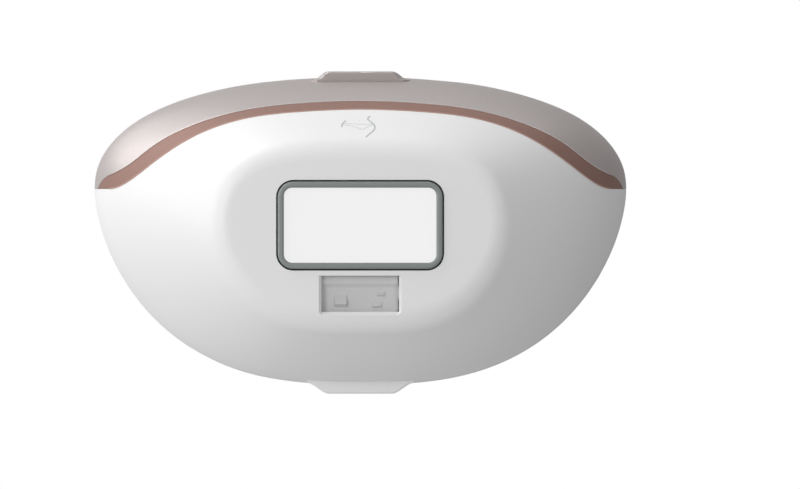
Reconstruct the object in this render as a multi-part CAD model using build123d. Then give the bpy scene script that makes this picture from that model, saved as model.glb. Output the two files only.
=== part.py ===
from build123d import *
import math
import os
from dataclasses import dataclass

# IPL hair remover: a handset with its snap-on treatment attachment.
# Millimetres.  +X is right seen from the skin side, +Y runs into the device,
# +Z is up.  The origin is the middle of the light window, on the plane that
# touches the skin.  Everything is drawn where it sits at rest.

# ---------------------------------------------------------------- light window
WINDOW_WIDTH = 24.3
WINDOW_HEIGHT = 11.95
WINDOW_CORNER = 1.3
RING_LIP = 1.0               # width of the metal ring seen round the window
RING_GAP = 0.24              # gap between the ring and the hole it slides in
RING_CORNER = 2.5
RING_TRAVEL = 0.6

# ------------------------------------------------------------- head attachment
PAD_Y = 0.4                  # the flat pad sits this far behind the ring
PAD_EDGE_RADIUS = 4.5
PAD_WALL = 1.2
FLANK_WALL = 1.9
RIM_Y = 27.4
RIM_EDGE_RADIUS = 0.5
SEAM = 0.04                  # gap between mouldings that meet edge to edge
TRIM_RECESS = 0.02
LOWER_GRIP_Y = 22.4
UPPER_GRIP_Y = 21.6
TOP_TAB_Z = 24.7
REST_Z = -27.0               # the plane the device rests on
CHASSIS_FRONT_Y = 17.0
CHASSIS_BACK_Y = 19.0
CHASSIS_INSET = 6.1
BOSS_X = 28.0

# half outline of the edge between the champagne cover and the copper trim
COVER_EDGE = [
    (0.0, 19.9), (9.9, 19.5), (17.6, 18.6), (25.3, 16.6),
    (33.0, 12.85), (38.7, 8.8), (41.0, 7.55), (42.1, 5.85),
]
# half outline of the edge between the copper trim and the white shell
SHELL_EDGE = [
    (0.0, 18.5), (9.9, 18.1), (17.6, 17.2), (25.3, 14.8),
    (33.0, 10.1), (36.8, 7.25), (38.7, 6.2), (40.6, 5.85),
]

# ---------------------------------------------------------- skin sensor pocket
POCKET_HALF_WIDTH = 6.17
POCKET_TOP_Z = -8.05
POCKET_BOTTOM_Z = -13.8
POCKET_SIDE_CHAMFER = 0.4
POCKET_BOTTOM_CHAMFER = 0.66
POCKET_DEPTH_Y = 7.5
POCKET_WALL = 0.45
POCKET_CLEARANCE = 0.2       # tunnel round the nose
POD_HALF_WIDTH = 6.35
POD_TOP_Z = -7.9
POD_BOTTOM_Z = -13.98
POD_FRONT_Y = 2.2
POD_STEP = 0.4               # the upper part of the nose stands this far forward

# -------------------------------------------------------------------- ring rods
ROD_X = 16.2
ROD_Z = 4.5
ROD_RADIUS = 1.1
ROD_END_Y = 20.0
SPRING_RADIUS = 1.75
SPRING_WIRE = 0.25

# --------------------------------------------------------------------- handset
HANDSET_Y = 27.7
HANDSET_WALL = 2.2
TAIL_SPLIT_Y = 172.0
TAIL_ROUND_Y = 177.5         # the tail end starts to round off here
TAIL_END_RADIUS = 4.0
BAND_HALF_HEIGHT = 0.45      # copper band round the handset
BAND_DEPTH = 1.75
COLLAR_INSET = 4.4
COLLAR_WALL = 2.0
COLLAR_FRONT_Y = 20.5
COLLAR_BACK_Y = 31.0
DOCK_PLATE_Y = 22.5
DOCK_SCREWS = [(31.0, 9.0), (-31.0, 9.0), (27.0, -10.0), (-27.0, -10.0)]
PANEL_Y = 101.0
PANEL_LENGTH = 56.0
PANEL_WIDTH = 17.0
PANEL_PROUD = 0.15
POWER_BUTTON_Y = 84.0
POWER_BUTTON_RADIUS = 5.6
CONFIRM_BUTTON_Y = 102.0
CONFIRM_BUTTON_RADIUS = 4.2
BUTTON_PROUD = 0.6
BUTTON_GAP = 0.2
INDICATOR_YS = [112.0, 115.0, 118.0, 121.0, 124.0]
CONTROL_BOARD_TOP = 10.4
TRIGGER_Y = 77.0
TRIGGER_LENGTH = 26.0
TRIGGER_WIDTH = 12.0
TRIGGER_GAP = 0.25
TRIGGER_PROUD = 0.8
SHELL_SCREWS = [(24.0, 58.0), (-24.0, 58.0), (0.0, 160.0)]
FAN_Z = -0.5
FAN_FRONT_Y = 50.5
FAN_BACK_Y = 60.5
LAMP_Y = 32.0
LAMP_RADIUS = 3.0
CAPACITOR_Z = -5.4
CAPACITOR_RADIUS = 12.0
CAPACITOR_START_Y = 95.0
CAPACITOR_END_Y = 151.0
INLET_Z = -9.5
INLET_RADIUS = 3.6
FOOT_Y = 154.0

FAR = 60.0                   # reaches past every outside surface


@dataclass
class Section:
    """Outline across the device: wide oval, fuller below than above."""

    y: float
    half_width: float
    crown: float
    keel: float
    belt: float
    powers: tuple = (2.4, 2.2, 2.7, 1.7)


PAD = Section(PAD_Y, 22.56, 13.1, -16.1, -1.07, (3.1, 2.7, 3.3, 1.55))
RIM = Section(RIM_Y, 42.7, 23.6, -25.4, 5.8)

HANDSET = [
    Section(HANDSET_Y, 42.7, 23.6, -25.4, 5.8),
    Section(34.0, 42.5, 23.8, -25.6, 5.6),
    Section(43.0, 40.6, 23.7, -25.0, 5.0),
    Section(54.0, 35.8, 22.8, -23.2, 3.8),
    Section(66.0, 29.8, 21.2, -21.2, 2.2),
    Section(80.0, 24.8, 19.2, -20.0, 0.4),
    Section(96.0, 22.2, 17.4, -20.2, -1.2),
    Section(116.0, 21.4, 16.0, -22.0, -2.6),
    Section(138.0, 21.2, 14.4, -24.6, -4.4),
    Section(156.0, 20.2, 12.0, -26.0, -6.2),
    Section(167.0, 18.6, 9.4, -25.8, -7.8),
    Section(TAIL_ROUND_Y, 16.6, 6.4, -24.6, -9.0),
]


# --------------------------------------------------------------- basic shapes
def block(x0, x1, y0, y1, z0, z1):
    """Box between two corners."""
    middle = Pos((x0 + x1) / 2, (y0 + y1) / 2, (z0 + z1) / 2)
    return middle * Box(x1 - x0, y1 - y0, z1 - z0)


def rod(x, z, radius, y0, y1):
    """Cylinder that runs front to back."""
    return Pos(x, y0, z) * Rot(X=-90) * upright(radius, y1 - y0)


def post(x, y, radius, z0, z1):
    """Cylinder that stands up."""
    return Pos(x, y, z0) * upright(radius, z1 - z0)


def cross_bar(y, z, radius, x0, x1):
    """Cylinder that runs left to right."""
    return Pos(x0, y, z) * Rot(Y=90) * upright(radius, x1 - x0)


def upright(radius, height):
    return Cylinder(radius, height, align=(Align.CENTER, Align.CENTER, Align.MIN))


def along_y(profile, y0, y1):
    """Extrude an XZ profile from y0 back to y1."""
    return extrude(Plane.XZ.offset(-y1) * profile, y1 - y0)


def along_x(profile, x0, x1):
    """Extrude a YZ profile from x0 to x1."""
    return extrude(Plane.YZ.offset(x0) * profile, x1 - x0)


def along_z(profile, z0, z1):
    """Extrude an XY profile from z0 up to z1."""
    return extrude(Plane.XY.offset(z0) * profile, z1 - z0)


def window_tube(width, height, corner, y0, y1):
    """Rounded rectangle round the light path."""
    return along_y(RectangleRounded(width, height, corner), y0, y1)


def coil(radius, wire, height, turns):
    """Round-wire spring standing on the origin."""
    path = Helix(pitch=height / turns, height=height, radius=radius)
    wire_end = Plane(path @ 0, z_dir=path % 0) * Circle(wire)
    return sweep(wire_end, path, is_frenet=True)


def wire_run(points, radius):
    """Round lead bent through the given points."""
    path = Spline(points)
    return sweep(Plane(path @ 0, z_dir=path % 0) * Circle(radius), path)


def both_sides(shape):
    return shape + mirror(shape, Plane.YZ)


# ------------------------------------------------------------ outside surfaces
def half_outline(section, inset, count=15):
    """Evenly spaced points up the right half of a section, keel to crown."""
    crown_p, crown_q, keel_p, keel_q = section.powers
    half_width = section.half_width - inset
    fine = []
    for i in range(401):
        angle = math.pi * (i / 400 - 0.5)
        across, rise = max(math.cos(angle), 0.0), math.sin(angle)
        if rise >= 0:
            reach = section.crown - inset - section.belt
            z = section.belt + reach * rise ** (2 / crown_q)
            fine.append((half_width * across ** (2 / crown_p), z))
        else:
            reach = section.belt - section.keel - inset
            z = section.belt - reach * (-rise) ** (2 / keel_q)
            fine.append((half_width * across ** (2 / keel_p), z))
    travelled = [0.0]
    for here, there in zip(fine, fine[1:]):
        travelled.append(travelled[-1] + math.dist(here, there))
    points = [(0.0, section.keel + inset)]
    step = 0
    for i in range(1, count - 1):
        target = travelled[-1] * i / (count - 1)
        while travelled[step + 1] < target:
            step += 1
        share = (target - travelled[step]) / (travelled[step + 1] - travelled[step])
        (x0, z0), (x1, z1) = fine[step], fine[step + 1]
        points.append((x0 + share * (x1 - x0), z0 + share * (z1 - z0)))
    points.append((0.0, section.crown - inset))
    return points


def section_wire(section, inset):
    points = half_outline(section, inset)
    right = [(x, section.y, z) for x, z in points]
    left = [(-x, section.y, z) for x, z in reversed(points)]
    return Wire([
        Spline(right, tangents=[(1, 0, 0), (-1, 0, 0)]),
        Spline(left, tangents=[(-1, 0, 0), (1, 0, 0)]),
    ])


def between(start, end, share, y):
    """Section part of the way from one outline to another."""
    def mix(a, b):
        return a + share * (b - a)

    return Section(
        y,
        mix(start.half_width, end.half_width),
        mix(start.crown, end.crown),
        mix(start.keel, end.keel),
        mix(start.belt, end.belt),
        tuple(mix(a, b) for a, b in zip(start.powers, end.powers)),
    )


def head_section(y):
    """Flanks leave the pad on a slant and arrive at the rim straight."""
    progress = (y - PAD.y) / (RIM.y - PAD.y)
    return between(PAD, RIM, math.sin(math.pi / 2 * progress), y)


def head_form(inset, front_y):
    """Solid inside the head surface, pulled in all round."""
    depths = [0.0, 0.08, 0.18, 0.3, 0.45, 0.6, 0.75, 0.88, 1.0]
    ys = [front_y + (RIM_Y - front_y) * depth for depth in depths]
    return Solid.make_loft([section_wire(head_section(y), inset) for y in ys])


def head_outside():
    form = head_form(0.0, PAD_Y)
    pad = form.faces().sort_by(Axis.Y)[0]
    rounded = form.fillet(PAD_EDGE_RADIUS, pad.edges())
    rim = rounded.faces().sort_by(Axis.Y)[-1]
    return rounded.fillet(RIM_EDGE_RADIUS, rim.edges())


def handset_form(inset):
    return Solid.make_loft([section_wire(section, inset) for section in HANDSET])


def tail_form(inset):
    """End of the handset, drawn in along a quarter circle."""
    before, end = HANDSET[-2:]
    sections = []
    for y in (TAIL_SPLIT_Y, (TAIL_SPLIT_Y + end.y) / 2):
        sections.append(between(before, end, (y - before.y) / (end.y - before.y), y))
    for degrees in (0, 30, 55, 75):
        angle = math.radians(degrees)
        inward = TAIL_END_RADIUS * (1 - math.cos(angle))
        sections.append(Section(
            end.y + TAIL_END_RADIUS * math.sin(angle), end.half_width - inward,
            end.crown - inward, end.keel + inward, end.belt,
        ))
    return Solid.make_loft([section_wire(section, inset) for section in sections])


def handset_outside():
    """Handset form with a bevelled front edge."""
    bevel_y = HANDSET_Y + RIM_EDGE_RADIUS
    first = HANDSET[0]
    widest = between(first, HANDSET[1], 0.08, bevel_y)
    bevel = Solid.make_loft(
        [section_wire(first, RIM_EDGE_RADIUS), section_wire(widest, 0.0)], ruled=True,
    )
    return (handset_form(0.0) & block(-FAR, FAR, bevel_y, FAR * 4, -FAR, FAR)) + bevel


def above_edge(edge, shift):
    """Everything above a trim edge, as a prism through the head."""
    right = [(x, z + shift) for x, z in edge]
    left = [(-x, z) for x, z in reversed(right[1:])]
    points = left + right
    start, end = points[0], points[-1]
    curve = Spline(points)
    around = Polyline(end, (FAR, end[1]), (FAR, FAR), (-FAR, FAR), (-FAR, start[1]), start)
    return along_y(make_face([curve, around]), -5, RIM_Y + 1)


def above_belt(shift):
    """Everything above the widest line of the handset."""
    points = [(section.y, section.belt + shift) for section in HANDSET]
    start, end = points[0], points[-1]
    around = Polyline(
        end, (end[0] + 5, end[1]), (end[0] + 5, FAR), (start[0] - 5, FAR),
        (start[0] - 5, start[1]), start,
    )
    return along_x(make_face([Spline(points), around]), -FAR, FAR)


HEAD = head_outside()
HEAD_HOLLOW = head_form(FLANK_WALL, PAD_Y + PAD_WALL)
BODY = handset_outside()
BODY_HOLLOW = handset_form(HANDSET_WALL)
BODY_WALL = BODY - BODY_HOLLOW
ABOVE_BELT = above_belt(0.02)


# ------------------------------------------------------- treatment attachment
def grip_outline(base, flat, foot_z, tip_z, root_z):
    """Flat-topped grip seen from the front: sides flare softly into the rim."""
    sweep_in = (tip_z - foot_z) * 0.08
    side = [(base, foot_z), (base - 1.4, foot_z + sweep_in), (flat + 1.3, tip_z), (flat, tip_z)]
    return make_face([
        Bezier(*side),
        Line((flat, tip_z), (-flat, tip_z)),
        Bezier(*[(-x, z) for x, z in side]),
        Polyline((-base, foot_z), (-base, root_z), (base, root_z), (base, foot_z)),
    ])


def lower_grip():
    outline = grip_outline(8.6, 5.0, -25.25, REST_Z, -22.7)
    grip = along_y(outline, LOWER_GRIP_Y, RIM_Y)
    tip = grip.faces().sort_by(Axis.Z)[0]
    return fillet(tip.edges().sort_by(Axis.Y)[0], 0.35)


def upper_grip():
    """Grip whose front leans forward a little, over a fine crease."""
    outline = grip_outline(7.9, 5.0, 23.3, TOP_TAB_Z, 20.7)
    front = grip_outline(6.7, 4.75, 23.35, TOP_TAB_Z - 0.1, 23.25)
    wedge = loft([
        Plane.XZ.offset(-UPPER_GRIP_Y) * front,
        Plane.XZ.offset(-UPPER_GRIP_Y - 2.0) * outline,
    ])
    lip = wedge.faces().sort_by(Axis.Y)[0].edges().sort_by(Axis.Z)[-1]
    wedge = fillet(lip, 0.2)
    slope = Polyline(
        (UPPER_GRIP_Y - 1, 23.0), (UPPER_GRIP_Y + 0.45, 23.0), (UPPER_GRIP_Y, 24.4),
        (UPPER_GRIP_Y - 1, 24.4), (UPPER_GRIP_Y - 1, 23.0),
    )
    wedge -= along_x(make_face(slope), -20, 20)
    return wedge + along_y(outline, UPPER_GRIP_Y + 2.0, RIM_Y)


def pocket_opening():
    """Window for the skin sensor, chamfered left, right and below."""
    width = 2 * POCKET_HALF_WIDTH
    height = POCKET_TOP_Z - POCKET_BOTTOM_Z
    middle = (POCKET_TOP_Z + POCKET_BOTTOM_Z) / 2
    opening = Pos(0, middle) * Rectangle(width, height)
    side = POCKET_HALF_WIDTH + POCKET_SIDE_CHAMFER
    low = POCKET_BOTTOM_Z - POCKET_BOTTOM_CHAMFER
    cut = 0.5
    outer = Polyline(
        (-side, POCKET_TOP_Z), (side, POCKET_TOP_Z), (side, low + cut), (side - cut, low),
        (cut - side, low), (-side, low + cut), (-side, POCKET_TOP_Z),
    )
    inner = Polyline(
        (-POCKET_HALF_WIDTH, POCKET_TOP_Z), (POCKET_HALF_WIDTH, POCKET_TOP_Z),
        (POCKET_HALF_WIDTH, POCKET_BOTTOM_Z + 0.05), (POCKET_HALF_WIDTH - 0.05, POCKET_BOTTOM_Z),
        (0.05 - POCKET_HALF_WIDTH, POCKET_BOTTOM_Z), (-POCKET_HALF_WIDTH, POCKET_BOTTOM_Z + 0.05),
        (-POCKET_HALF_WIDTH, POCKET_TOP_Z),
    )
    wide = Plane.XZ.offset(-PAD_Y) * make_face(outer)
    narrow = Plane.XZ.offset(-PAD_Y - 0.6) * make_face(inner)
    chamfer_cut = loft([wide, narrow])
    return along_y(opening, -1, PAD_Y + PAD_WALL + 0.5) + chamfer_cut


def pocket_walls():
    """Short tunnel that shields the skin sensor from stray light."""
    half_width = POD_HALF_WIDTH + POCKET_CLEARANCE
    low, high = POD_BOTTOM_Z - POCKET_CLEARANCE, POD_TOP_Z + POCKET_CLEARANCE
    back = PAD_Y + PAD_WALL
    outer = block(
        -half_width - POCKET_WALL, half_width + POCKET_WALL, back - 0.2, POCKET_DEPTH_Y,
        low - POCKET_WALL, high + POCKET_WALL,
    )
    return (outer & HEAD) - block(-half_width, half_width, back, POCKET_DEPTH_Y + 1, low, high)


def ring_outline(grow):
    width = WINDOW_WIDTH + 2 * RING_LIP + 2 * grow
    height = WINDOW_HEIGHT + 2 * RING_LIP + 2 * grow
    return RectangleRounded(width, height, RING_CORNER + grow)


def attachment_shell():
    """White front moulding: pad, flanks, lower grip and inner screw posts."""
    wall = HEAD - HEAD_HOLLOW
    wall -= above_edge(SHELL_EDGE, -SEAM / 2)
    wall += lower_grip() - HEAD_HOLLOW
    for side in (-1, 1):
        screw_post = rod(side * BOSS_X, 0, 2.6, 3.0, CHASSIS_FRONT_Y - 0.05) & HEAD
        wall += screw_post - rod(side * BOSS_X, 0, 0.85, 9.0, CHASSIS_FRONT_Y + 1)
    for side in (-1, 1):
        screw_post = rod(side * 17.0, -14.5, 2.4, 3.0, CHASSIS_FRONT_Y - 0.05) & HEAD
        wall += screw_post - rod(side * 17.0, -14.5, 0.85, 9.0, CHASSIS_FRONT_Y + 1)
    wall += pocket_walls()
    wall -= pocket_opening()
    wall -= along_y(ring_outline(RING_GAP), -1, PAD_Y + PAD_WALL + 1)
    return wall


def attachment_top_cover():
    """Champagne cover over the crown of the head, with the upper grip."""
    cover = (HEAD - HEAD_HOLLOW) & above_edge(COVER_EDGE, SEAM / 2)
    return cover + (upper_grip() - HEAD_HOLLOW)


def attachment_trim():
    """Copper strip between cover and shell, all but flush with them."""
    strip = head_form(TRIM_RECESS, PAD_Y + TRIM_RECESS) - HEAD_HOLLOW
    strip &= above_edge(SHELL_EDGE, SEAM / 2)
    strip -= above_edge(COVER_EDGE, -SEAM / 2)
    end_x = COVER_EDGE[-1][0] - SEAM
    return strip & block(-end_x, end_x, 0, RIM_Y - 0.1, 0, FAR)


def safety_ring():
    """Sliding metal ring: lip, sleeve, ears and the four push rods."""
    opening = RectangleRounded(WINDOW_WIDTH, WINDOW_HEIGHT, WINDOW_CORNER)
    lip = along_y(ring_outline(0) - opening, 0, 0.7)
    front = lip.faces().sort_by(Axis.Y)[0]
    lip = fillet(front.edges(), 0.33)
    sleeve_inside = RectangleRounded(WINDOW_WIDTH + 1.2, WINDOW_HEIGHT + 1.1, WINDOW_CORNER + 0.5)
    sleeve = along_y(ring_outline(0) - sleeve_inside, 0.7, 2.9)
    ear = block(13.0, ROD_X + 1.6, 1.7, 2.9, -ROD_Z - 1.5, ROD_Z + 1.5)
    ring = lip + sleeve + both_sides(ear)
    for x in (-ROD_X, ROD_X):
        for z in (-ROD_Z, ROD_Z):
            ring += rod(x, z, ROD_RADIUS, 2.8, ROD_END_Y)
    return ring


def window_filter():
    """Glass that passes the treatment light."""
    glass = window_tube(WINDOW_WIDTH + 0.8, WINDOW_HEIGHT + 0.7, WINDOW_CORNER + 0.3, 1.5, 3.0)
    front = glass.faces().sort_by(Axis.Y)[0]
    return chamfer(front.edges(), 0.2)


def window_seal():
    outer = RectangleRounded(WINDOW_WIDTH + 0.8, WINDOW_HEIGHT + 0.7, WINDOW_CORNER + 0.3)
    inner = RectangleRounded(WINDOW_WIDTH - 1.6, WINDOW_HEIGHT - 1.7, WINDOW_CORNER)
    return along_y(outer - inner, 3.0, 3.5)


def attachment_reflector():
    """Mirror duct from the lamp window to the treatment window."""
    duct = RectangleRounded(WINDOW_WIDTH - 0.8, WINDOW_HEIGHT - 0.9, 1.2)
    bore = RectangleRounded(WINDOW_WIDTH - 2.0, WINDOW_HEIGHT - 2.1, 0.8)
    front = RectangleRounded(WINDOW_WIDTH + 0.8, WINDOW_HEIGHT + 0.7, WINDOW_CORNER + 0.3)
    back = RectangleRounded(WINDOW_WIDTH + 1.6, WINDOW_HEIGHT + 0.6, 1.6)
    pipe = along_y(duct, 3.5, 20.2) + along_y(front, 3.5, 4.3)
    pipe += along_y(back, CHASSIS_FRONT_Y - 0.8, CHASSIS_FRONT_Y)
    return pipe - along_y(bore, 3, 21)


def attachment_chassis():
    """Inner plate that carries the reflector, springs and contacts."""
    outline = [(x, z) for x, z in half_outline(RIM, CHASSIS_INSET)]
    right = Spline(outline, tangents=[(1, 0), (-1, 0)])
    face = make_face([right, Line(outline[-1], outline[0])])
    plate = both_sides(along_y(face, CHASSIS_FRONT_Y, CHASSIS_BACK_Y))
    plate -= window_tube(WINDOW_WIDTH - 0.4, WINDOW_HEIGHT - 0.5, 1.4, 16, 20)
    pod_hole = block(
        -POD_HALF_WIDTH - 0.7, POD_HALF_WIDTH + 0.7, 16, 20, POD_BOTTOM_Z - 0.7, POD_TOP_Z + 0.6,
    )
    plate -= pod_hole
    for x in (-ROD_X, ROD_X):
        for z in (-ROD_Z, ROD_Z):
            plate += rod(x, z, 2.3, 10.0, CHASSIS_FRONT_Y)
            plate -= rod(x, z, ROD_RADIUS + 0.25, 9, 20)
    for x, z in attachment_screw_places():
        plate -= rod(x, z, 1.15, 16, 20)
        plate -= rod(x, z, 2.2, CHASSIS_BACK_Y - 1.1, 20)
    return plate


def attachment_screw_places():
    return [(BOSS_X, 0.0), (-BOSS_X, 0.0), (17.0, -14.5), (-17.0, -14.5)]


def attachment_screws():
    """Four screws, driven in from the handset side."""
    screws = []
    for x, z in attachment_screw_places():
        head = rod(x, z, 1.9, CHASSIS_BACK_Y - 1.0, CHASSIS_BACK_Y - 0.05)
        head -= cross_slot(x, z, CHASSIS_BACK_Y - 0.6, CHASSIS_BACK_Y)
        screws.append(head + rod(x, z, 0.8, 11.0, CHASSIS_BACK_Y - 0.9))
    return Compound(children=screws)


def cross_slot(x, z, y0, y1):
    """Cross recess in a screw head that faces front or back."""
    arm = block(x - 1.2, x + 1.2, y0, y1, z - 0.25, z + 0.25)
    return arm + block(x - 0.25, x + 0.25, y0, y1, z - 1.2, z + 1.2)


def ring_springs():
    """Springs that push the safety ring forward again."""
    springs = []
    for x in (-ROD_X, ROD_X):
        for z in (-ROD_Z, ROD_Z):
            spring = coil(SPRING_RADIUS, SPRING_WIRE, 6.3, 5)
            springs.append(Pos(x, 3.25, z) * Rot(X=-90) * spring)
    return Compound(children=springs)


def attachment_contacts():
    """Gold pads that tell the handset which attachment is fitted."""
    pads = []
    for i in range(5):
        x = (i - 2) * 2.6
        pads.append(block(x - 0.8, x + 0.8, CHASSIS_BACK_Y, CHASSIS_BACK_Y + 0.3, 9.9, 12.1))
    return Compound(children=pads)


# ------------------------------------------------------------------ light pod
def dock_frame():
    """Collar and front plate that the attachment slides over."""
    collar = collar_prism(COLLAR_INSET, COLLAR_FRONT_Y, COLLAR_BACK_Y)
    frame = collar - collar_prism(COLLAR_INSET + COLLAR_WALL, DOCK_PLATE_Y, COLLAR_BACK_Y + 1)
    flange = collar_prism(HANDSET_WALL + 0.35, 28.4, COLLAR_BACK_Y)
    frame += flange - collar_prism(COLLAR_INSET + 0.5, 28, COLLAR_BACK_Y + 1)
    for x, z in DOCK_SCREWS:
        frame += rod(x, z, 2.6, DOCK_PLATE_Y - 0.1, COLLAR_BACK_Y)
        frame -= rod(x, z, 2.1, COLLAR_FRONT_Y - 1, COLLAR_FRONT_Y + 1.6)
        frame -= rod(x, z, 1.15, COLLAR_FRONT_Y, COLLAR_BACK_Y + 1)
    frame -= window_tube(WINDOW_WIDTH - 2.0, WINDOW_HEIGHT - 2.1, 0.8, 20, 23)
    frame -= block(
        -POD_HALF_WIDTH - 0.1, POD_HALF_WIDTH + 0.1, 20, 23, POD_BOTTOM_Z - 0.1, POD_TOP_Z + 0.1,
    )
    for x in (-ROD_X, ROD_X):
        for z in (-ROD_Z, ROD_Z):
            frame -= rod(x, z, 1.55, 20, 23)
    for x, z in contact_places():
        frame -= rod(x, z, 0.75, 20, 23)
    for side in (-1, 1):
        x0, x1 = sorted((side * 36.9, side * 39.5))
        frame -= block(x0, x1, 21.6, 28.2, 1.6, 10.0)
    return frame


def collar_prism(inset, y0, y1):
    """Prism with the outline of the head rim, pulled in."""
    outline = half_outline(RIM, inset)
    right = Spline(outline, tangents=[(1, 0), (-1, 0)])
    return both_sides(along_y(make_face([right, Line(outline[-1], outline[0])]), y0, y1))


def contact_places():
    return [((i - 2) * 2.6, 11.0) for i in range(5)]


def contact_pins():
    """Spring pins that read the attachment's pads, on one carrier."""
    pins = block(-7.0, 7.0, 22.6, 25.0, 9.6, 12.4)
    for x, z in contact_places():
        pins += rod(x, z, 0.6, 20.2, 22.7)
        pins += rod(x, z, 0.4, CHASSIS_BACK_Y + 0.4, 20.3)
    return pins


def latch_springs():
    """Leaf springs in the collar sides that hold the attachment."""
    leaf = block(37.2, 37.7, 21.9, 28.0, 2.0, 9.6)
    nose = make_face(Polyline((37.6, 22.6), (39.6, 24.3), (37.6, 26.0), (37.6, 22.6)))
    return both_sides(leaf + along_z(nose, 2.0, 9.6))


def dock_screws():
    screws = []
    for x, z in DOCK_SCREWS:
        head = rod(x, z, 1.9, COLLAR_FRONT_Y + 0.65, COLLAR_FRONT_Y + 1.6)
        head -= cross_slot(x, z, COLLAR_FRONT_Y, COLLAR_FRONT_Y + 1.1)
        screws.append(head + rod(x, z, 0.85, COLLAR_FRONT_Y + 1.5, 36.0))
    return Compound(children=screws)


def switch_plungers():
    """Pins that carry the ring's movement to the handset's switches."""
    pins = []
    for x in (-ROD_X, ROD_X):
        for z in (-ROD_Z, ROD_Z):
            pins.append(rod(x, z, 1.25, ROD_END_Y + 0.05, 25.6) + rod(x, z, 1.9, 23.3, 24.1))
    return Compound(children=pins)


def contact_switches():
    """Four small switches behind the plungers, each on its own board."""
    switches = []
    for side in (-1, 1):
        x = side * ROD_X
        for z in (-ROD_Z, ROD_Z):
            board = block(x - 2.6, x + 2.6, 29.0, 30.0, z - 1.9, z + 1.9)
            board += block(x - 2.2, x + 2.2, 27.2, 29.0, z - 1.9, z + 1.9)
            switches.append(board + rod(x, z, 0.9, 26.3, 27.3))
    return Compound(children=switches)


def sensor_pod():
    """Nose that carries the skin sensor into the attachment's pocket."""
    profile = Polyline(
        (POD_FRONT_Y - POD_STEP, POD_TOP_Z), (24.0, POD_TOP_Z), (24.0, POD_BOTTOM_Z),
        (POD_FRONT_Y, POD_BOTTOM_Z), (POD_FRONT_Y, -9.9),
        (POD_FRONT_Y - POD_STEP, -9.28), (POD_FRONT_Y - POD_STEP, POD_TOP_Z),
    )
    nose = along_x(make_face(profile), -POD_HALF_WIDTH, POD_HALF_WIDTH)
    nose += snap_wedge(-4.05, -2.16, -11.1, -12.56, -13.07, 0.6)
    nose += snap_wedge(2.75, 3.87, -10.6, -11.1, -11.4, 0.35)
    nose += snap_wedge(1.98, 3.3, -12.2, -12.9, -13.2, 0.35)
    for low, high in ((-9.75, -7.8), (-14.0, -11.8)):
        nose -= block(6.03, 7.0, 0, 5.0, low, high)
    nose -= block(-4.6, 4.6, 4.4, 25.0, -12.6, -9.2)
    flange = block(-8.0, 8.0, 22.6, 24.0, -15.4, -7.0)
    return nose + (flange - block(-4.6, 4.6, 22, 25, -12.6, -9.2))


def snap_wedge(x0, x1, top, edge, foot, rise):
    """Small ramp on the nose front, steep on its lower side."""
    front = POD_FRONT_Y + 0.01
    ramp = Polyline((front, top), (POD_FRONT_Y - rise, edge), (front, foot), (front, top))
    return along_x(make_face(ramp), x0, x1)


def skin_sensor():
    """Light source and detector inside the nose, with their flat cable."""
    sensor = block(-4.4, 4.4, 5.2, 6.0, -12.4, -9.4)
    for x in (-3.1, 2.9):
        sensor += block(x - 1.0, x + 1.0, 4.5, 5.3, -12.3, -10.8)
    return sensor + block(-2.5, 2.5, 5.9, 25.5, -12.2, -11.9)


def lamp_window():
    """Inner glass between the lamp and the attachment."""
    return window_tube(WINDOW_WIDTH + 1.2, WINDOW_HEIGHT + 0.4, 1.5, DOCK_PLATE_Y + 0.05, 24.0)


def reflector_profile(grow):
    """Trough round the lamp, open to the front."""
    half_mouth, half_belly, back_y = 5.2 + grow, 6.3 + grow, 38.4 + grow
    lower = Spline(
        [(24.2, -half_mouth), (LAMP_Y, -half_belly), (back_y, 0.0)],
        tangents=[(1, -0.1), (0, 1)],
    )
    upper = Spline(
        [(back_y, 0.0), (LAMP_Y, half_belly), (24.2, half_mouth)],
        tangents=[(0, 1), (-1, -0.1)],
    )
    return make_face([lower, upper, Line((24.2, half_mouth), (24.2, -half_mouth))])


def main_reflector():
    """Polished trough that throws the flash forward."""
    trough = along_x(reflector_profile(0.6), -13.0, 13.0)
    trough -= along_x(reflector_profile(0.0), -12.2, 12.2)
    return trough - cross_bar(LAMP_Y, 0, LAMP_RADIUS + 0.3, -20, 20)


def lamp_tube():
    """Quartz flash tube with a tipped-off end at each side."""
    tube = cross_bar(LAMP_Y, 0, LAMP_RADIUS, -16.5, 16.5)
    return tube - cross_bar(LAMP_Y, 0, LAMP_RADIUS - 0.8, -15.5, 15.5)


def lamp_electrodes():
    """Metal end caps, electrode tips and leads of the lamp."""
    cap = cross_bar(LAMP_Y, 0, 2.2, 16.55, 19.5) + cross_bar(LAMP_Y, 0, 0.7, 19.4, 21.5)
    return both_sides(cap)


def lamp_holders():
    """Heat-proof blocks that hold the lamp ends."""
    holder = block(13.6, 15.6, 30.2, 36.8, -6.5, 6.5)
    holder -= cross_bar(LAMP_Y, 0, LAMP_RADIUS + 0.05, 10, 20)
    return both_sides(holder)


def heat_sink():
    """Finned block behind the reflector."""
    sink = block(-16.0, 16.0, 39.4, 41.4, -10.0, 10.0)
    for i in range(11):
        x = (i - 5) * 3.0
        sink += block(x - 0.45, x + 0.45, 41.3, 48.5, -10.0, 10.0)
    return sink


def lamp_frame():
    """Frame that ties lamp, reflector and heat sink to the dock."""
    cheek = block(22.4, 24.0, 24.0, 49.0, -11.0, 11.0)
    bar = block(-23.0, 23.0, 42.0, 49.0, 10.4, 11.6)
    foot = block(22.4, 24.0, 22.6, 24.1, -13.0, 13.0)
    frame = both_sides(cheek + foot) + bar + mirror(bar, Plane.XY)
    return frame - cross_bar(LAMP_Y, 0, 2.4, -30, 30)


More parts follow.
